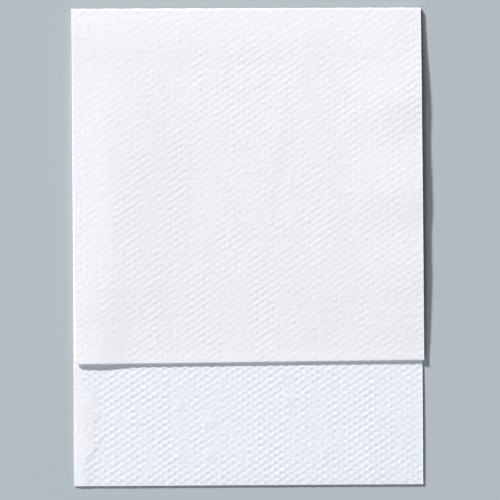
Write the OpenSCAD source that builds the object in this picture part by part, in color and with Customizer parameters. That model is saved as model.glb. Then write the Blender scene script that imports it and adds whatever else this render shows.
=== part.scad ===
// Low-fold dispenser napkin: one sheet of paper, folded in half along its length and then folded across
// into a back panel, a shorter front panel and a panel tucked between them. It lies on its back panel,
// with the half fold on the left (-X), the open edges on the right (+X) and the crease at the top (+Y).

/* [Folded size] */
// Width from the half fold to the open edges
width = 88.9; // [60:0.1:130]
// Length of the back panel, from its free hem to the outside of the top crease
back_len = 121.4; // [100:0.1:180]
// Length of the front panel, from the outside of the top crease to the outside of its lower fold
front_len = 90; // [60:0.1:115]
// Length of the tucked panel, from the outside of the lower fold to its free edge
tuck_len = 78; // [20:0.1:85]

/* [Paper] */
// Thickness of the embossed sheet
paper = 0.17; // [0.1:0.01:0.3]
// Air between the two plies that the half fold lays together
ply_air = 0.08; // [0.04:0.01:0.3]
// Air between the tucked panel and the panels above and below it
panel_air = 0.12; // [0.06:0.01:0.4]

/* [Hidden] */
$fn = 72;

// A panel is two plies and the air between them
panel = 2*paper + ply_air;

// Outside radius of each cross fold: the crease turns round the tucked panel, and the lower fold round air alone
crease_r = 1.5*panel + panel_air;
lower_r = panel + panel_air/2;

// Where the straight runs start and end along Y
hem_y = -back_len/2;
crease_y = back_len/2 - crease_r;
lower_y = back_len/2 - front_len + lower_r;
tuck_y = back_len/2 - front_len + tuck_len;

// The way along the sheet from the hem: [0, length] for a straight run, [radius, angle] for a fold
way = [
    [0, crease_y - hem_y],
    [crease_r, 180],
    [0, crease_y - lower_y],
    [lower_r, 180],
    [0, tuck_y - lower_y]
];

// Section across the folded sheet: two plies, open on the right and joined by the round of the half fold on the left
module ply_pair() {
    translate([-width/2 + panel/2, panel/2]) difference() {
        union() {
            circle(d = panel);
            translate([0, -panel/2]) square([width - panel/2, panel]);
        }
        circle(d = ply_air);
        translate([0, -ply_air/2]) square([width, ply_air]);
    }
}

// A straight run of the section along Y, with the face that ends up outside laid down
module straight(length) {
    translate([0, length, 0]) rotate([90, 0, 0]) linear_extrude(length) ply_pair();
}

// The section turned up and over, with its outside face at the given radius
module fold(r, angle) {
    translate([0, 0, r]) rotate([0, 90, 0])
        rotate_extrude(angle = angle) translate([r, 0]) rotate(90) ply_pair();
}

// Carries the section along the way, each run starting where the one before it ended
module follow(i = 0) {
    r = way[i][0];
    amount = way[i][1];
    if (r == 0) straight(amount);
    else fold(r, amount);
    if (i < len(way) - 1) {
        if (r == 0) translate([0, amount, 0]) follow(i + 1);
        else translate([0, 0, r]) rotate([amount, 0, 0]) translate([0, 0, -r]) follow(i + 1);
    }
}

module folded_sheet() {
    color("white") translate([0, hem_y, 0]) follow();
}

folded_sheet();
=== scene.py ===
import math

import bmesh
import bpy
import numpy as np
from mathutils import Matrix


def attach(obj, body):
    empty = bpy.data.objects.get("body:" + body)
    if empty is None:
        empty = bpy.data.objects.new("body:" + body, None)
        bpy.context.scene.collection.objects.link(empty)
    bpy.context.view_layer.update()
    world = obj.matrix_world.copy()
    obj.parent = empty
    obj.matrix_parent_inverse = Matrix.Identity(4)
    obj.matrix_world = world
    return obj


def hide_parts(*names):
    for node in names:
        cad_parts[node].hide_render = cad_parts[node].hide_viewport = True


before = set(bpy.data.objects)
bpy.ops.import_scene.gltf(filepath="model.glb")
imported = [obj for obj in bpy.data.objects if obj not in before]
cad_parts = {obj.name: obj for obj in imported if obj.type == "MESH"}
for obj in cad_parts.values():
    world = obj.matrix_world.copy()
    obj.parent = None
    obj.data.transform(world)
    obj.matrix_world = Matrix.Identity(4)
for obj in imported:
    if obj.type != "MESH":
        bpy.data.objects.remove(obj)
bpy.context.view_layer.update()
mm = 0.001
scene = bpy.context.scene
print("frame loaded, nodes:", sorted(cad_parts))


# One socket of a node tree, so that node maths can be written as an expression
class Wire:
    def __init__(self, tree, socket=None):
        self.tree = tree
        self.socket = socket

    def add(self, kind, settings=None, values=None, out=0):
        made = self.tree.nodes.new(kind)
        for name, value in (settings or {}).items():
            setattr(made, name, value)
        for key, value in (values or {}).items():
            if isinstance(value, Wire):
                self.tree.links.new(value.socket, made.inputs[key])
            else:
                made.inputs[key].default_value = value
        return Wire(self.tree, made.outputs[out] if len(made.outputs) else None)

    def maths(self, operation, a, b=0.0):
        return self.add("ShaderNodeMath", {"operation": operation}, {0: a, 1: b})

    def __add__(self, other):
        return self.maths("ADD", self, other)

    def __radd__(self, other):
        return self.maths("ADD", other, self)

    def __sub__(self, other):
        return self.maths("SUBTRACT", self, other)

    def __rsub__(self, other):
        return self.maths("SUBTRACT", other, self)

    def __mul__(self, other):
        return self.maths("MULTIPLY", self, other)

    def __rmul__(self, other):
        return self.maths("MULTIPLY", other, self)

    def __truediv__(self, other):
        return self.maths("DIVIDE", self, other)

    def __rtruediv__(self, other):
        return self.maths("DIVIDE", other, self)

    def cosine(self):
        return self.maths("COSINE", self)

    def atLeast(self, low):
        return self.maths("MAXIMUM", self, low)

    # 0 below low, 1 above high, and an eased rise between them
    def rise(self, low, high):
        ends = {"Value": self, "From Min": low, "From Max": high}
        return self.add("ShaderNodeMapRange", {"interpolation_type": "SMOOTHSTEP"}, ends)

    # The first colour where this is 0, and the second where it is 1
    def blend(self, first, second):
        return self.add("ShaderNodeMix", {"data_type": "RGBA"}, {0: self, 6: first, 7: second}, 2)

    # The three numbers of a vector
    def parts(self):
        split = self.add("ShaderNodeSeparateXYZ", None, {0: self}).socket.node
        return [Wire(self.tree, number) for number in split.outputs]


# The folded napkin, in millimetres: x from the half fold to the open edges, y up to the top crease
napkin = {
    "width": 88.9,
    "backLength": 121.54,
    "frontLength": 90.35,
    "tuckLength": 78.0,
    "paper": 0.17,          # thickness of the embossed sheet
    "plyAir": 0.08,         # between the two plies of a panel
    "panelAir": 0.12,       # above and below the tucked panel
    "creaseAir": 0.20,      # left inside the top crease
    "pressedPaper": 0.14,   # at the lower fold
    "lowerAir": 0.008,      # between the plies that the lower fold presses together
    "flatCut": (177.8, 290.0),
    "sharpAbove": 50.0,     # degrees between two faces, so that only cut edges are sharp
}

# The fine staggered dot that is pressed into the paper, in millimetres and shares of its depth.
# Places on the sheet are d from the half fold, v up from the hem, and below from the top crease.
emboss = {
    "dotPitch": 2.70,       # along a row
    "rowPitch": 1.774,      # two rows, because every other row is shifted by half a pitch
    "depth": 0.0228,
    "deepest": 0.11,        # no dot goes through the paper
    "crossShare": 0.70,     # finer waves that give a dot its rim, across the sheet
    "rowShare": 0.48,       # and along it
    "slant": 0.60,          # the softer dots of the strip are longer on one diagonal
    "patch": 1.5,           # size of the patches that are pressed more and less
    "uneven": 3.0,
    "streak": 2.8,          # width of the streaks along the sheet
    "streaky": 3.0,
    "streakStretch": 0.09,  # width to length
    "least": 0.05,          # what patches and streaks leave of the depth
    "mottle": 0.130,        # height of the fine unevenness between the dots
    "mottleSize": 0.7,      # of a patch
    "ripple": 0.07,         # height of the wide unevenness
    "rippleSize": 3.2,      # of a streak's width
    "rippleStretch": 0.8,
    "onFront": 0.77,
    "besideFold": (0.62, 3.0, 17.0),    # share beside the half fold, and the d between which it rises to 1
    "belowCrease": (0.68, 2.0, 18.0),   # the same below the crease
    "frontPatches": [                   # d and below of the middle, half width, half length and change
        (8.0, 10.0, 14.0, 16.0, -0.66),
        (80.0, 12.0, 12.0, 16.0, 0.25),
        (64.0, 82.0, 10.0, 9.0, -0.30),
    ],
    "bareRim": 0.3,                     # of the front panel along its folds
    "onStrip": 1.58,
    "softer": 0.50,                     # the dots of the strip have rounder rims
    "smoothBand": 4.3,                  # width of the bare band beside the half fold, on the strip
    "bandAtHem": (2.0, 6.0, 9.0),       # narrower by this at the hem, and the v between which that ends
    "bandAtFold": (2.2, 23.0, 27.0),    # the same at the lower fold, and the v between which that starts
    "bandWobble": (0.5, 0.9),           # height, and turns in radians for each millimetre
    "bandEdge": (0.5, 0.9),             # the dots start before its edge, and are full past it
    "covered": (0.5, 0.1),              # they fade before the edge of the lower fold, and are gone past it
    "worn": [                           # d and v of the middle, half width, half length and share lost
        (27.3, 14.0, 1.7, 8.0, 0.60),
        (34.9, 15.5, 2.0, 10.0, 0.65),
        (63.4, 16.0, 2.0, 10.0, 0.45),
        (86.8, 13.0, 2.0, 10.0, 0.70),
        (34.4, 17.6, 1.7, 2.4, 0.80),
        (34.4, 7.1, 1.7, 2.0, 0.80),
        (27.8, 7.0, 1.3, 1.8, 0.70),
        (48.4, 17.5, 1.2, 1.6, 0.60),
    ],
    "cutFade": (0.1, 0.8),              # from a cut edge: no dots, and full ones
    "foldFade": (0.2, 1.2),             # the same from the lower fold
}

# Steps of the flat mesh: a cell holds a few dots, and is cut finer where the emboss shows
flatMesh = {
    "dotsInCell": (2, 2.4),   # across and along
    "lastCell": 0.2,          # the last cell of a stretch may be longer by this share
    "frontSteps": 12,
    "stripSteps": 15,
    "stripCells": 8,
    "hiddenCell": 3.95,       # millimetres
    "halfFoldSteps": 8,
    "crossFoldSteps": 10,
}

thick = napkin["paper"]
ply = thick + napkin["plyAir"]
panelGap = thick + napkin["panelAir"]
halfFoldRadius = ply / 2
halfFoldReach = math.pi * halfFoldRadius / 2
legStart = -napkin["width"] / 2 + halfFoldRadius + thick / 2
legLength = napkin["width"] / 2 - legStart
creaseHalf = (4 * thick + 2 * napkin["plyAir"] + napkin["creaseAir"]) / 2
pressedPly = napkin["pressedPaper"] + napkin["lowerAir"]
lowerHalf = thick / 2 + 1.5 * pressedPly
hemY = -napkin["backLength"] / 2
creaseY = -hemY - creaseHalf
lowerY = -hemY - napkin["frontLength"] + lowerHalf
tuckY = -hemY - napkin["frontLength"] + napkin["tuckLength"]
frontRun = creaseY - lowerY

# Where each stretch of the sheet ends, measured along it from the hem
cellAcross = flatMesh["dotsInCell"][0] * emboss["dotPitch"]
cellAlong = flatMesh["dotsInCell"][1] * emboss["rowPitch"]
creaseMiddle = creaseHalf - thick - napkin["plyAir"] / 2
stripEnd = flatMesh["stripCells"] * cellAlong
backEnd = creaseY - hemY
frontStart = backEnd + math.pi * creaseMiddle
frontEnd = frontStart + creaseY - lowerY
tuckStart = frontEnd + math.pi * pressedPly
tuckEnd = tuckStart + tuckY - lowerY


# Lines a cell apart, without the one at the end
def cells(start, end, cell):
    count = max(1, math.ceil((end - start) / cell - flatMesh["lastCell"]))
    return [min(start + i * cell, end) for i in range(count)]


def spread(start, end, count):
    return [start + (end - start) * i / count for i in range(count)]


# Lines of the flat sheet across and along, with closer ones where it is folded
def flatLines():
    hidden = flatMesh["hiddenCell"]
    leg = [0.0] + [legLength - d for d in reversed(cells(0, legLength, cellAcross))]
    across = [-halfFoldReach - d for d in reversed(leg)]
    across += spread(-halfFoldReach, halfFoldReach, flatMesh["halfFoldSteps"])[1:]
    across += [halfFoldReach + d for d in leg]
    along = cells(0, stripEnd, cellAlong)
    along += spread(stripEnd, backEnd, round((backEnd - stripEnd) / hidden))
    along += spread(backEnd, frontStart, flatMesh["crossFoldSteps"])
    along += cells(frontStart, frontEnd, cellAlong)
    along += spread(frontEnd, tuckStart, flatMesh["crossFoldSteps"])
    along += spread(tuckStart, tuckEnd, round((tuckEnd - tuckStart) / hidden))
    return across, along + [tuckEnd]


# The sheet as it was cut: two faces and their edge walls, with the side of the paper as z
def cutSheet():
    across, along = flatLines()
    columns, rows = len(across), len(along)
    corners = [(a, v, side) for side in (1, -1) for v in along for a in across]

    def corner(i, j, side):
        return (0 if side > 0 else columns * rows) + j * columns + i

    faces = []
    for j in range(rows - 1):
        for i in range(columns - 1):
            ring = [(i, j), (i + 1, j), (i + 1, j + 1), (i, j + 1)]
            faces.append([corner(*p, 1) for p in ring])
            faces.append([corner(*p, -1) for p in reversed(ring)])
    rim = [((i, 0), (i + 1, 0)) for i in range(columns - 1)]
    rim += [((columns - 1, j), (columns - 1, j + 1)) for j in range(rows - 1)]
    rim += [((i + 1, rows - 1), (i, rows - 1)) for i in range(columns - 1)]
    rim += [((0, j + 1), (0, j)) for j in range(rows - 1)]
    for p, q in rim:
        faces.append([corner(*q, 1), corner(*p, 1), corner(*p, -1), corner(*q, -1)])
    mesh = bpy.data.meshes.new("foldedSheet")
    mesh.from_pydata(corners, [], faces)
    return mesh


# Finer cells where the emboss shows, and matching steps round the folds next to them
def refine(mesh):
    form = bmesh.new()
    form.from_mesh(mesh)
    touching = 1e-4
    farEdge = halfFoldReach + legLength
    front, strip = set(), set()
    for face in form.faces:
        a, v, side = face.calc_center_median()
        onFront = frontStart < v < frontEnd
        onStrip = v < stripEnd
        onFold = backEnd < v < frontStart or frontEnd < v < tuckStart
        onHalfFold = abs(a) < halfFoldReach
        plyA = a < -halfFoldReach
        plyB = a > halfFoldReach
        outer = side > 0.5
        wall = abs(side) < 0.5
        atOpenEdge = wall and abs(abs(a) - farEdge) < touching
        atHem = wall and v < touching
        for edge in face.edges:
            step = edge.verts[0].co - edge.verts[1].co
            runsAlong = abs(step.y) > touching
            runsAcross = abs(step.x) > touching
            beside = runsAlong and ((outer and onHalfFold) or atOpenEdge)
            if onFront and ((plyA and outer) or (beside and not plyB)):
                front.add(edge)
            elif onStrip and ((plyB and outer) or (beside and not plyA)):
                strip.add(edge)
            elif outer and plyA and onFold and runsAcross:
                front.add(edge)
            elif atHem and plyB and runsAcross:
                strip.add(edge)
    for chosen, count in ((front, flatMesh["frontSteps"]), (strip, flatMesh["stripSteps"])):
        bmesh.ops.subdivide_edges(form, edges=list(chosen), cuts=count - 1, use_grid_fill=True)
    form.to_mesh(mesh)
    form.free()
    print("flat sheet:", len(mesh.vertices), "points,", len(mesh.polygons), "faces")


# How the soft sheet lies, as heights and reaches in millimetres: inwards is from the half fold,
# upwards from the lower fold and downwards from the top crease
lie = {
    "stripSwell": (0.07, 0.085, 0.8, 2.6),   # loft all over, height, even slope to here, and full from here
    "stripSink": (0.080, 2.2, 2.8, 0.06),    # depth, from here inwards, over this width, and more further up
    "hemSag": (0.085, 2.0, 0.6, 5.0),        # depth, how far up, more beside the half fold, how far inwards
    "openLift": (0.03, 7.0),                 # of the strip's open edges, and how far it runs in from them
    "pressed": (0.8, 15.0, 1.0),             # share of the loft lost, from below the lower fold to above it
    "burr": (0.045, 0.32),                   # the cut edge stands up a little
    "burrEnds": (2.0, 0.5),                  # below the lower fold: that of the strip fades between these
    "looseAbove": 60.0,                      # upwards: the plies lie loosely again from here
    "tuckSettles": (0.3, 15.0),              # share of the air lost under the tucked panel's end, over this
    "cornerLoft": (0.37, 3.0, 15.8, 36.0),   # height, flat inwards to here, gone here, and how far upwards
    "cornerDent": (0.08, 8.5, 14.0),         # in the lofted corner: depth, upwards where it thins and ends
    "foldPuff": (0.06, 2.3),                 # along the whole lower fold: height, and how far upwards
    "loftShares": (0.35, 0.20, 0.25, 0.20),  # of the loft and puff in each gap, from the strip to the top ply
    "frontSwell": (0.43, 6.5, 11.0),         # height, inwards to where it slopes evenly and is full
    "frontSink": (0.34, 11.0, 31.0),         # depth, inwards from here to here
    "frontGrows": 41.0,                      # downwards: swell and sink are full here
    "frontFalls": (68.0, 0.55, 6.0, 18.0),   # and fall from here, by this share, and by all of it inwards
    "frontNarrows": (72.0, 0.35),            # the swell narrows from here downwards, by this share
    "frontDent": (8.0, 79.5, 5.5, 7.5, 0.12),     # inwards, downwards, reach both ways, and depth
    "frontTilt": (0.37, 10.0, 70.0, 64.0),   # rise to the open edges, from here, full and falling downwards
    "frontMark": (3.7, -4.0, 9.8, 38.0, 0.025),   # an old fold line, faint: x and y of both ends, and height
    "markSlopes": (6.0, 1.5, 8.0),           # on either side of it, and how far it fades at its ends
    "edgeWaves": [                           # downwards, height, and how far each rises and falls
        (21.5, 0.60, 15.5, 8.0),
        (46.5, 0.39, 12.0, 6.5),
        (67.0, 0.24, 9.0, 10.0),
        (81.0, 0.21, 7.0, 7.0),
    ],
    "edgeReach": 22.0,                       # how far the waves run in from the open edge
    "underShare": (0.5, 0.55),               # of the swell, and of tilt and waves, that the lower ply takes
    "ramp": (4.5, 12.5),                     # downwards: an even slope ends here, and full height starts
    "rampAtOpen": (-15.0, 45.0, 9.0),        # at the open edges it rises between these, and how far in
    "creaseDip": (0.060, 0.070, 8.0, 2.5),   # depth, more at the half fold, how far inwards, and how far down
    "openDip": (0.19, 13.0),                 # of the crease at the open edges: depth, and how far down
    "pleats": [                              # on the strip: x and y of both ends, and height
        (-41.3, -53.7, -39.1, -51.6, 0.085),
        (-39.1, -51.2, -37.3, -48.3, 0.070),
        (-39.1, -44.0, -37.3, -42.2, 0.045),
        (-39.2, -48.5, -39.3, -38.0, 0.012),
        (-41.6, -42.2, -41.1, -40.2, 0.022),
        (-41.8, -52.4, -41.0, -50.1, 0.022),
    ],
    "pleatSlopes": (1.1, 0.30, 0.6),         # long towards the half fold, short beyond, and the fade
    "knobs": [                               # small bumps on the strip: x, y, height and radius
        (-10.0, -44.7, 0.08, 1.5),
        (-10.2, -53.3, 0.09, 1.3),
        (-17.8, -53.3, 0.07, 1.2),
        (-17.6, -40.4, 0.06, 1.3),
        (10.2, -39.0, 0.05, 1.5),
        (19.0, -53.0, 0.07, 1.3),
    ],
}


def smooth(low, high, value):
    t = np.clip((value - low) / (high - low), 0, 1)
    return t * t * (3 - 2 * t)


# A share as far as low, rising to 1 at high
def risingFrom(share, low, high, value):
    return share + (1 - share) * smooth(low, high, value)


# A round hill of height 1 that runs out both ways
def hill(across, along):
    return np.exp(-across ** 2 - along ** 2)


# An even slope that eases off to 1
def evenRamp(run, even, full):
    t = np.clip((run - even) / (full - even), 0, 1)
    eased = np.minimum(run, full) - (full - even) * (t ** 3 - t ** 4 / 2)
    return eased / ((even + full) / 2)


# Nearness to the open edges, from 1 there to 0 further in
def nearOpen(d, reach, power=1.5):
    return np.exp(-(np.maximum(legLength - d, 0) / reach) ** power)


# A pleat rises slowly up to its line and falls steeply beyond it
def pleat(x, y, x0, y0, x1, y1, slow, steep, fade):
    length = math.hypot(x1 - x0, y1 - y0)
    ux, uy = (x1 - x0) / length, (y1 - y0) / length
    along = (x - x0) * ux + (y - y0) * uy
    beyond = (x - x0) * uy - (y - y0) * ux
    slope = np.exp(np.minimum(beyond, 0) / slow)
    step = np.clip(1 - beyond / steep, 0, 1)
    past = np.maximum(np.maximum(-along, along - length), 0)
    return np.where(beyond < 0, slope, step) * np.exp(-(past / fade) ** 2)


# 1 where the strip lies free, and less where the panels above press it down
def looseAt(y):
    lost, before, past = lie["pressed"]
    return 1 - lost * smooth(lowerY - before, lowerY + past, y)


def burrAt(d):
    height, reach = lie["burr"]
    return height * nearOpen(d, reach, power=1.0)


# What the panels above lie on
def bearing(d, y):
    loose = looseAt(y)
    loft, height, even, full = lie["stripSwell"]
    b = thick / 2 + ply + (loft + height * evenRamp(d, even, full)) * loose
    height, reach = lie["openLift"]
    return b + height * nearOpen(d, reach) * loose + burrAt(d)


# Heights of the middle of plies A and B on each panel, d from the half fold and y on the panel
def backHeights(d, y):
    a = thick / 2 + 0 * d
    x = legStart + d
    up = np.clip(y - hemY, 0, stripEnd)
    sink, start, width, more = lie["stripSink"]
    b = bearing(d, y) - sink * smooth(0, 1, (d - start - more * up) / (width + more * up)) * looseAt(y)
    depth, reach, more, inward = lie["hemSag"]
    b -= depth * (1 + more * np.exp(-(d / inward) ** 2)) * np.exp(-np.maximum(y - hemY, 0) / reach)
    fades, gone = lie["burrEnds"]
    b -= burrAt(d) * smooth(lowerY - fades, lowerY - gone, y)
    for *line, height in lie["pleats"]:
        b += height * pleat(x, y, *line, *lie["pleatSlopes"])
    for x0, y0, height, radius in lie["knobs"]:
        b += height * hill((x - x0) / radius, (y - y0) / radius)
    return a, b


# Thickness of the paper, which is pressed thinner at the lower fold
def paperAt(y):
    loose = smooth(0, lie["looseAbove"] / 2, y - lowerY)
    return thick - (thick - napkin["pressedPaper"]) * (1 - loose)


# Middle to middle of two plies above the strip: pressed at the lower fold, loose further up
def apartAt(y, loose):
    return pressedPly + (loose - pressedPly) * smooth(0, lie["looseAbove"], y - lowerY)


# Height that the lofted corner and the puff of the lower fold add, over all the gaps
def foldLoft(d, y):
    up = np.maximum(y - lowerY, 0)
    height, flat, gone, fade = lie["cornerLoft"]
    dent, thins, ends = lie["cornerDent"]
    corner = height * (1 - smooth(0, fade, up)) - dent * (1 - smooth(thins, ends, up))
    puff, reach = lie["foldPuff"]
    return corner * (1 - smooth(flat, gone, d)) + puff * np.exp(-(up / reach) ** 2)


def tuckHeights(d, y):
    loft = foldLoft(d, y)
    lost, length = lie["tuckSettles"]
    under = apartAt(y, panelGap) * (1 - lost * smooth(tuckY - length, tuckY, y))
    a = bearing(d, y) + under + lie["loftShares"][0] * loft
    b = a + apartAt(y, ply) + lie["loftShares"][1] * loft
    return a, b


# The front panel beside the half fold: swollen, then sunk, with one dent
def frontSwell(d, below):
    height, even, full = lie["frontSwell"]
    narrows, share = lie["frontNarrows"]
    wide = 1 - share * smooth(narrows, frontRun, below)
    sink, start, end = lie["frontSink"]
    swell = height * evenRamp(d / wide, even, full) - sink * smooth(start, end, d)
    falls, *share = lie["frontFalls"]
    swell *= smooth(0, lie["frontGrows"], below)
    swell *= 1 - risingFrom(*share, d) * smooth(falls, frontRun, below)
    inward, down, wide, high, depth = lie["frontDent"]
    return swell - depth * hill((d - inward) / wide, (below - down) / high)


# The front panel towards the open edges: tilted up, waved, and marked by an old fold
def frontLift(d, y, below):
    waves = 0 * d
    for middle, height, rise, fall in lie["edgeWaves"]:
        past = creaseY - y - middle
        waves += height * np.exp(-(past / np.where(past < 0, rise, fall)) ** 2)
    lift = waves * smooth(legLength - lie["edgeReach"], legLength, d)
    height, start, full, falls = lie["frontTilt"]
    height *= smooth(0, full, below) * (1 - smooth(falls, frontRun, below))
    lift += height * smooth(start, legLength, d)
    *line, height = lie["frontMark"]
    return lift + height * pleat(legStart + d, y, *line, *lie["markSlopes"])


def frontHeights(d, y):
    below = np.maximum(creaseY - y, 0)
    swell = frontSwell(d, below)
    lift = frontLift(d, y, below)
    loft = foldLoft(d, y)
    start, end, reach = lie["rampAtOpen"]
    atOpen = nearOpen(d, reach)
    ramp = evenRamp(below, *lie["ramp"]) * (1 - atOpen) + smooth(start, end, below) * atOpen
    depth, more, inward, downward = lie["creaseDip"]
    dip = (depth * (1 - atOpen) + more * np.exp(-(d / inward) ** 2)) * np.exp(-(below / downward) ** 2)
    depth, downward = lie["openDip"]
    dip += depth * atOpen * np.exp(-(below / downward) ** 2)
    low = bearing(d, y) + thick + napkin["creaseAir"]
    high = tuckHeights(d, y)[1] + apartAt(y, panelGap) + lie["loftShares"][2] * loft
    ofSwell, ofLift = lie["underShare"]
    b = low + (high - low) * ramp + ofSwell * swell + ofLift * lift - dip
    a = b + apartAt(y, ply) + (1 - ofSwell) * swell + (1 - ofLift) * lift + lie["loftShares"][3] * loft
    return a, b


# The least air between plies that lie on each other: below zero, they would pass through each other
def leastAir(columns=90, rows=120):
    d, y = np.meshgrid(np.linspace(0, legLength, columns), np.linspace(lowerY, creaseY, rows))
    backB = bearing(d, y)
    tuckA, tuckB = tuckHeights(d, y)
    frontA, frontB = frontHeights(d, y)
    tucked = y < tuckY
    panel = np.ones_like(tucked)
    rooms = [
        (frontA - frontB, panel),
        (frontB - np.where(tucked, tuckB, backB), panel),
        (tuckB - tuckA, tucked),
        (tuckA - backB, tucked),
        (backB - thick / 2, panel),
    ]
    return [round(float((room - paperAt(y))[where].min()), 3) for room, where in rooms]


# The front and tucked panels are folded a little askew: slopes, and a shift at the open edges
askew = {
    "creaseSlope": -0.0025,
    "lowerSlope": 0.0073,
    "leanAtFold": 0.0055,
    "leanAtOpen": 0.0037,
    "shiftAtOpen": 0.07,                          # millimetres, as below
    "scallop": (0.030, 2.70, 0.035, 7.4),         # of the crease line: depth and pitch, twice
    # The rounded lower corner: reach in and up, draw in and up, and more of it underneath
    "cornerRound": (1.2, 0.8, 0.12, 0.20, 4.0),
}


# Lays a point of the front or tucked panel askew (turn 1), and leaves the strip square (turn 0)
def laidAskew(d, y, turn, under):
    x = legStart + d
    below = creaseY - y
    share = d / legLength
    lean = askew["leanAtFold"] + (askew["leanAtOpen"] - askew["leanAtFold"]) * share
    along = below / napkin["frontLength"]
    slope = askew["creaseSlope"] + (askew["lowerSlope"] - askew["creaseSlope"]) * along
    backSlope = askew["creaseSlope"] * smooth(lowerY, creaseY, y)
    reachIn, reachUp, drawIn, drawUp, more = askew["cornerRound"]
    corner = np.clip(1 - d / reachIn, 0, 1) ** 2 * np.exp(-np.maximum(y - lowerY, 0) / reachUp) * turn
    moved = x + turn * (np.maximum(below, 0) * lean + askew["shiftAtOpen"] * share)
    moved += drawIn * corner * (1 + more * under)
    return moved, y + x * (turn * slope + (1 - turn) * backSlope) + drawUp * corner


# Middle of one ply (0 for A, 1 for B), d from the half fold and v along the sheet from the hem
def plyPoint(d, v, which):
    creaseTurn = np.clip((v - backEnd) / (frontStart - backEnd), 0, 1)
    lowerTurn = np.clip((v - frontEnd) / (tuckStart - frontEnd), 0, 1)
    atCrease = np.full_like(v, creaseY)
    atLower = np.full_like(v, lowerY)
    backPath = np.clip(hemY + v, hemY, creaseY)
    frontPath = np.clip(creaseY - (v - frontStart), lowerY, creaseY)
    tuckPath = np.clip(lowerY + (v - tuckStart), lowerY, tuckY)

    lowZ = backHeights(d, atCrease)[which]
    highZ = frontHeights(d, atCrease)[which]
    creaseZ = (lowZ + highZ) / 2 - (highZ - lowZ) / 2 * np.cos(math.pi * creaseTurn)
    depth, pitch, slowDepth, slowPitch = askew["scallop"]
    scallop = depth * np.cos(d * math.tau / pitch) + slowDepth * np.sin(d * math.tau / slowPitch)
    creaseRound = (creaseHalf - thick / 2) - (ply if which else 0)
    bulge = np.sin(math.pi * creaseTurn)
    creasePath = creaseY + (creaseRound + scallop * bulge) * bulge

    topZ = frontHeights(d, atLower)[which]
    underZ = tuckHeights(d, atLower)[which]
    lowerZ = (topZ + underZ) / 2 + (topZ - underZ) / 2 * np.cos(math.pi * lowerTurn)
    lowerRound = (lowerHalf - thick / 2) - (pressedPly if which else 0)
    lowerPath = lowerY - lowerRound * np.sin(math.pi * lowerTurn)

    backZ = backHeights(d, backPath)[which]
    frontZ = frontHeights(d, frontPath)[which]
    tuckZ = tuckHeights(d, tuckPath)[which]
    stretches = [v <= backEnd, v < frontStart, v <= frontEnd, v < tuckStart]
    y = np.select(stretches, [backPath, creasePath, frontPath, lowerPath], tuckPath)
    z = np.select(stretches, [backZ, creaseZ, frontZ, lowerZ], tuckZ)
    x, y = laidAskew(d, y, creaseTurn, lowerTurn)
    return np.stack([x, y, z], axis=1)


# Folds the flat sheet: every point goes to its ply, and half the paper's thickness out or in
def foldUp(mesh):
    flat = np.empty(len(mesh.vertices) * 3, dtype=np.float32)
    mesh.vertices.foreach_get("co", flat)
    a, v, side = flat.reshape(-1, 3).astype(np.float64).T
    d = np.maximum(np.abs(a) - halfFoldReach, 0)
    upper = plyPoint(d, v, 0)
    lower = plyPoint(d, v, 1)
    middle = (upper + lower) / 2
    apart = upper - lower
    gap = np.linalg.norm(apart, axis=1)
    outward = apart / gap[:, None]
    inward = np.array([1.0, 0, 0])
    turn = np.clip(a / halfFoldReach, -1, 1) * math.pi / 2 + math.pi / 2
    facing = outward * np.cos(turn)[:, None] - inward * np.sin(turn)[:, None]
    stretches = [v < frontStart, v < frontEnd, v < tuckStart]
    aboveFold = np.select(stretches, [frontRun, frontEnd - v, 0 * v], v - tuckStart)
    place = middle + facing * (gap / 2 + side * paperAt(lowerY + aboveFold) / 2)[:, None]
    mesh.vertices.foreach_set("co", (place * mm).astype(np.float32).ravel())
    return a, d, v, side


# Signed depth of the emboss, out on the front panel, in on the strip and none on hidden faces,
# and how far a face shows
def embossMask(a, d, v, side):
    outer = side > 0.5
    onFront = outer & (a < -halfFoldReach) & (v >= frontStart) & (v <= frontEnd)
    onStrip = outer & (a > halfFoldReach) & (v <= stripEnd)
    below = v - frontStart
    aboveFold = frontEnd - v
    atCut = smooth(*emboss["cutFade"], legLength - d)

    front = emboss["onFront"] * risingFrom(*emboss["besideFold"], d)
    front *= risingFrom(*emboss["belowCrease"], below)
    for d0, below0, width, length, change in emboss["frontPatches"]:
        front *= 1 + change * hill((d - d0) / width, (below - below0) / length)
    front *= atCut * smooth(*emboss["foldFade"], aboveFold)

    hemShare, *hemEnds = emboss["bandAtHem"]
    foldShare, *foldStarts = emboss["bandAtFold"]
    wobble, turns = emboss["bandWobble"]
    band = emboss["smoothBand"] - hemShare * (1 - smooth(*hemEnds, v)) - foldShare * smooth(*foldStarts, v)
    band += wobble * np.sin(v * turns)
    before, past = emboss["bandEdge"]
    strip = emboss["onStrip"] * smooth(band - before, band + past, d)
    for d0, v0, width, length, lost in emboss["worn"]:
        strip *= 1 - lost * np.exp(-((d - d0) / width) ** 2 - ((v - v0) / length) ** 4)
    before, past = emboss["covered"]
    foldEdge = lowerY - lowerHalf + askew["lowerSlope"] * (legStart + d) - hemY
    bare = 1 - smooth(foldEdge - before, foldEdge + past, v)
    strip *= atCut * smooth(*emboss["cutFade"], v) * bare

    rim = emboss["bareRim"]
    showing = np.where(onStrip, bare, onFront & (below > rim) & (aboveFold > rim))
    return np.where(onFront, front, 0) - np.where(onStrip, strip, 0), showing


def addAttribute(mesh, name, kind, values):
    made = mesh.attributes.new(name, kind, "POINT")
    field = "vector" if kind == "FLOAT_VECTOR" else "value"
    made.data.foreach_set(field, np.ascontiguousarray(values, dtype=np.float32).ravel())


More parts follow.
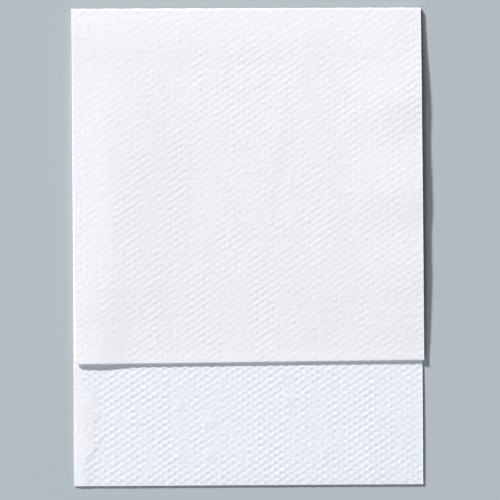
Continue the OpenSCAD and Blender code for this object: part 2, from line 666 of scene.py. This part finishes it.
# Inputs of the node tree below: the name there, the name in the dictionary, and its unit
pressInputs = [
    ("Dot pitch", "dotPitch", mm),
    ("Row pitch", "rowPitch", mm),
    ("Depth", "depth", mm),
    ("Deepest", "deepest", mm),
    ("Cross share", "crossShare", 1),
    ("Row share", "rowShare", 1),
    ("Slant", "slant", 1),
    ("Patch", "patch", mm),
    ("Uneven", "uneven", 1),
    ("Streak", "streak", mm),
    ("Streaky", "streaky", 1),
    ("Least", "least", 1),
    ("Mottle", "mottle", mm),
    ("Mottle size", "mottleSize", 1),
    ("Ripple", "ripple", mm),
    ("Ripple size", "rippleSize", 1),
]


# Presses the staggered dots into the paper along its own normals
def embossTree():
    tree = bpy.data.node_groups.new("pressedDots", "GeometryNodeTree")
    tree.interface.new_socket("Sheet", in_out="INPUT", socket_type="NodeSocketGeometry")
    for name, key, unit in pressInputs:
        tree.interface.new_socket(name, in_out="INPUT", socket_type="NodeSocketFloat")
    tree.interface.new_socket("Paper", in_out="INPUT", socket_type="NodeSocketMaterial")
    tree.interface.new_socket("Sheet", in_out="OUTPUT", socket_type="NodeSocketGeometry")
    start = tree.nodes.new("NodeGroupInput")
    end = tree.nodes.new("NodeGroupOutput")
    given = {s.name: Wire(tree, s) for s in start.outputs if s.name}
    pen = Wire(tree)

    def stored(name, kind):
        return pen.add("GeometryNodeInputNamedAttribute", {"data_type": kind}, {"Name": name})

    # Noise round zero on the flat sheet, drawn out along it where stretch is below 1
    def cloudy(size, stretch=1.0):
        drawn = {0: flat, 1: (1.0, stretch, 0.0)}
        place = pen.add("ShaderNodeVectorMath", {"operation": "MULTIPLY"}, drawn)
        return pen.add("ShaderNodeTexNoise", None, {"Vector": place, "Scale": 1 / size, "Detail": 1.0}) - 0.5

    flat = stored("flatPlace", "FLOAT_VECTOR")
    share = stored("embossDepth", "FLOAT")
    showing = stored("showing", "FLOAT")
    across, along, crisp = flat.parts()
    outward = across / given["Dot pitch"] * math.tau
    downward = along / given["Row pitch"] * math.tau
    lean = (1 - crisp) * given["Slant"]
    dots = (outward + downward).cosine() * (1 + lean) + (outward - downward).cosine() * (1 - lean)
    rims = (outward * 2).cosine() * given["Cross share"] + (downward * 2).cosine() * given["Row share"]
    dots = dots + rims * crisp

    patchy = cloudy(given["Patch"]) * given["Uneven"]
    streaky = cloudy(given["Streak"], emboss["streakStretch"]) * given["Streaky"]
    amount = (1 + patchy + streaky).atLeast(given["Least"])
    mottle = cloudy(given["Patch"] * given["Mottle size"]) * given["Mottle"]
    ripple = cloudy(given["Streak"] * given["Ripple size"], emboss["rippleStretch"]) * given["Ripple"]
    height = dots * given["Depth"] * amount * share + (mottle + ripple) * showing
    height = height.atLeast(given["Deepest"] * -1)

    normal = pen.add("GeometryNodeInputNormal")
    push = pen.add("ShaderNodeVectorMath", {"operation": "SCALE"}, {0: normal, "Scale": height})
    pushed = pen.add("GeometryNodeSetPosition", None, {"Geometry": given["Sheet"], "Offset": push})
    whole = pen.add("GeometryNodeRealizeInstances", None, {0: pushed})
    done = pen.add("GeometryNodeSetMaterial", None, {"Geometry": whole, "Material": given["Paper"]})
    tree.links.new(done.socket, end.inputs[0])
    return tree


def emptyMaterial(name):
    material = bpy.data.materials.new(name)
    material.use_nodes = True
    material.node_tree.nodes.clear()
    return material, Wire(material.node_tree)


def giveSurface(pen, values):
    surface = pen.add("ShaderNodeBsdfPrincipled", None, values)
    pen.add("ShaderNodeOutputMaterial", None, {"Surface": surface})


# White, slightly cool tissue with soft cloudiness, fibres and a few specks, and a painted cool tint on the
# strip that stands in for the bluish fill light there: sizes and heights in millimetres
paperLook = {
    "white": (0.820, 0.820, 0.861, 1),
    "cloud": (0.810, 0.811, 0.854, 1),
    "cloudSize": 4.0,
    "cloudEdge": (0.42, 0.68),
    "paintedFillTint": (0.788, 0.803, 0.860, 1),   # painted cool tint that stands in for the bluish fill light on the strip, where its emboss is deep
    "paintedFillTintFrom": (0.0, 0.35),            # depth of the emboss where the painted tint starts and is full
    "speck": (0.56, 0.56, 0.57, 1),
    "speckSize": 3.2,                   # from one to the next
    "speckEdge": (0.03, 0.06),
    "speckShare": 0.35,
    "fibreSize": 0.35,
    "fibreHeight": 0.042,
    "crepeSize": 0.45,
    "crepeStretch": 0.12,               # width to length
    "crepeHeight": 0.010,
    "roughness": 0.92,
    "roughSpread": 0.12,
    "sheen": 0.25,
}


def paperMaterial():
    look = paperLook
    material, pen = emptyMaterial("embossedPaper")
    place = pen.add("ShaderNodeTexCoord", out="Object")

    def noise(where, size, detail):
        values = {"Vector": where, "Scale": 1 / (size * mm), "Detail": detail}
        return pen.add("ShaderNodeTexNoise", None, values)

    def stored(name, out):
        return pen.add("ShaderNodeAttribute", {"attribute_name": name}, out=out)

    cloud = noise(place, look["cloudSize"], 3.0)
    fibre = noise(place, look["fibreSize"], 3.0)
    drawn = pen.add("ShaderNodeMapping", None, {"Vector": place, "Scale": (look["crepeStretch"], 1.0, 1.0)})
    crepe = noise(drawn, look["crepeSize"], 2.0)
    apart = {"Vector": place, "Scale": 1 / (look["speckSize"] * mm)}
    speck = 1 - pen.add("ShaderNodeTexVoronoi", {"feature": "F1"}, apart).rise(*look["speckEdge"])
    # The strip, whose emboss depth is below zero, gets a painted cool tint in place of the bluish fill light
    # that falls on it
    paintedFillTint = stored("embossDepth", "Fac") * -1
    tint = cloud.rise(*look["cloudEdge"]).blend(look["white"], look["cloud"])
    tint = paintedFillTint.rise(*look["paintedFillTintFrom"]).blend(tint, look["paintedFillTint"])
    tint = (speck * look["speckShare"]).blend(tint, look["speck"])

    # Hidden faces have the dots as a bump alone
    across, along = stored("flatPlace", "Vector").parts()[:2]
    outward = across * (math.tau / (emboss["dotPitch"] * mm))
    downward = along * (math.tau / (emboss["rowPitch"] * mm))
    hidden = 1 - stored("showing", "Fac")
    height = fibre * (look["fibreHeight"] * mm) + crepe * (look["crepeHeight"] * mm)
    height = height + outward.cosine() * downward.cosine() * hidden * (2 * emboss["depth"] * mm)
    giveSurface(pen, {
        "Base Color": tint,
        "Roughness": look["roughness"] + (fibre - 0.5) * look["roughSpread"],
        "Normal": pen.add("ShaderNodeBump", None, {"Strength": 1.0, "Distance": 1.0, "Height": height}),
        "Specular IOR Level": look["sheen"],
    })
    return material


# Triangles where fine cells meet wide ones, and faces that point outwards
def cleanFaces(mesh):
    form = bmesh.new()
    form.from_mesh(mesh)
    seams = [face for face in form.faces if len(face.verts) > 4]
    bmesh.ops.triangulate(form, faces=seams, ngon_method="BEAUTY")
    bmesh.ops.recalc_face_normals(form, faces=form.faces)
    form.to_mesh(mesh)
    form.free()
    mesh.shade_smooth()


# Runs the node tree on the folded sheet, and keeps its result as a plain mesh
def pressDots(piece):
    tree = embossTree()
    press = piece.modifiers.new("emboss", "NODES")
    press.node_group = tree
    sockets = {s.name: s.identifier for s in tree.interface.items_tree if s.in_out == "INPUT"}
    for name, key, unit in pressInputs:
        press[sockets[name]] = emboss[key] * unit
    press[sockets["Paper"]] = paperMaterial()
    graph = bpy.context.evaluated_depsgraph_get()
    dotted = bpy.data.meshes.new_from_object(piece.evaluated_get(graph))
    piece.modifiers.clear()
    piece.data = dotted
    dotted.set_sharp_from_angle(angle=math.radians(napkin["sharpAbove"]))
    print("napkin:", sum(len(p.vertices) - 2 for p in dotted.polygons), "triangles")


def makeNapkin():
    mesh = cutSheet()
    refine(mesh)
    a, d, v, side = foldUp(mesh)
    print("folded, least air between plies:", leastAir())
    rims = np.where((a > 0) & (v <= stripEnd), emboss["softer"], 1.0)
    depth, showing = embossMask(a, d, v, side)
    addAttribute(mesh, "flatPlace", "FLOAT_VECTOR", np.stack([d * mm, v * mm, rims], axis=1))
    addAttribute(mesh, "embossDepth", "FLOAT", depth)
    addAttribute(mesh, "showing", "FLOAT", showing)
    cleanFaces(mesh)
    piece = bpy.data.objects.new("folded_napkin", mesh)
    scene.collection.objects.link(piece)
    pressDots(piece)
    return piece


napkinPiece = makeNapkin()
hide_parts("folded_sheet")
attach(napkinPiece, "root")


# Plain pale floor, a lamp from the upper left, a large soft one from the lower left and an even fill
studio = {
    "floorSize": 6.0,        # metres
    "floorDrop": 0.02,       # millimetres under the napkin
    "floorColour": (0.43, 0.475, 0.50, 1),
    "floorRoughness": 0.9,
    "floorSheen": 0.2,
    "fillColour": (0.94, 1.02, 1.06, 1),
    "fillStrength": 0.17,
    "lamps": [               # reach and size in metres, rise and side in degrees, power in watts
        {
            "reach": 5.5, "rise": 26.2, "side": 53.5, "size": 0.584,
            "power": 468, "colour": (1.0, 0.985, 0.970),
        },
        {
            "reach": 3.0, "rise": 45, "side": -60, "size": 1.2,
            "power": 26, "colour": (0.96, 1.0, 1.03),
        },
    ],
}


def addLamp(number, given):
    rise = math.radians(given["rise"])
    side = math.radians(given["side"])
    reach = given["reach"]
    lamp = bpy.data.lights.new("lamp%d" % number, "AREA")
    lamp.shape = "DISK"
    lamp.size = given["size"]
    lamp.energy = given["power"]
    lamp.color = given["colour"]
    holder = bpy.data.objects.new("lamp%d" % number, lamp)
    holder.location = (
        -reach * math.cos(rise) * math.cos(side),
        reach * math.cos(rise) * math.sin(side),
        reach * math.sin(rise),
    )
    holder.rotation_euler = (-holder.location).to_track_quat("-Z", "Y").to_euler()
    scene.collection.objects.link(holder)


def makeStudio():
    half = studio["floorSize"] / 2
    level = -studio["floorDrop"] * mm
    corners = [(-half, -half, level), (half, -half, level), (half, half, level), (-half, half, level)]
    mesh = bpy.data.meshes.new("floor")
    mesh.from_pydata(corners, [], [(0, 1, 2, 3)])
    floor = bpy.data.objects.new("floor", mesh)
    scene.collection.objects.link(floor)
    material, pen = emptyMaterial("paleFloor")
    giveSurface(pen, {
        "Base Color": studio["floorColour"],
        "Roughness": studio["floorRoughness"],
        "Specular IOR Level": studio["floorSheen"],
    })
    mesh.materials.append(material)

    for number, given in enumerate(studio["lamps"], 1):
        addLamp(number, given)

    world = bpy.data.worlds.new("fill")
    world.use_nodes = True
    scene.world = world
    back = world.node_tree.nodes["Background"]
    back.inputs["Color"].default_value = studio["fillColour"]
    back.inputs["Strength"].default_value = studio["fillStrength"]


# Straight above the napkin, as far off as a long lens needs
view = {
    "lens": 200.0,
    "sensor": 36.0,
    "frameWidth": 127.3,        # millimetres of the napkin's top across the picture
    "topHeight": 1.2,           # millimetres, where that is measured
    "offset": (0.666, -0.84),   # millimetres
    "roll": -0.355,             # degrees
    "clip": (0.01, 20),         # metres
}


def makeCamera():
    camera = bpy.data.cameras.new("camera")
    camera.lens = view["lens"]
    camera.sensor_width = view["sensor"]
    camera.clip_start, camera.clip_end = view["clip"]
    holder = bpy.data.objects.new("camera", camera)
    away = view["frameWidth"] * mm * view["lens"] / view["sensor"]
    holder.location = (view["offset"][0] * mm, view["offset"][1] * mm, away + view["topHeight"] * mm)
    holder.rotation_euler = (0, 0, math.radians(view["roll"]))
    scene.collection.objects.link(holder)
    scene.camera = holder


makeStudio()
makeCamera()
scene.view_settings.view_transform = "Standard"
scene.view_settings.look = "None"
print("studio and camera set")
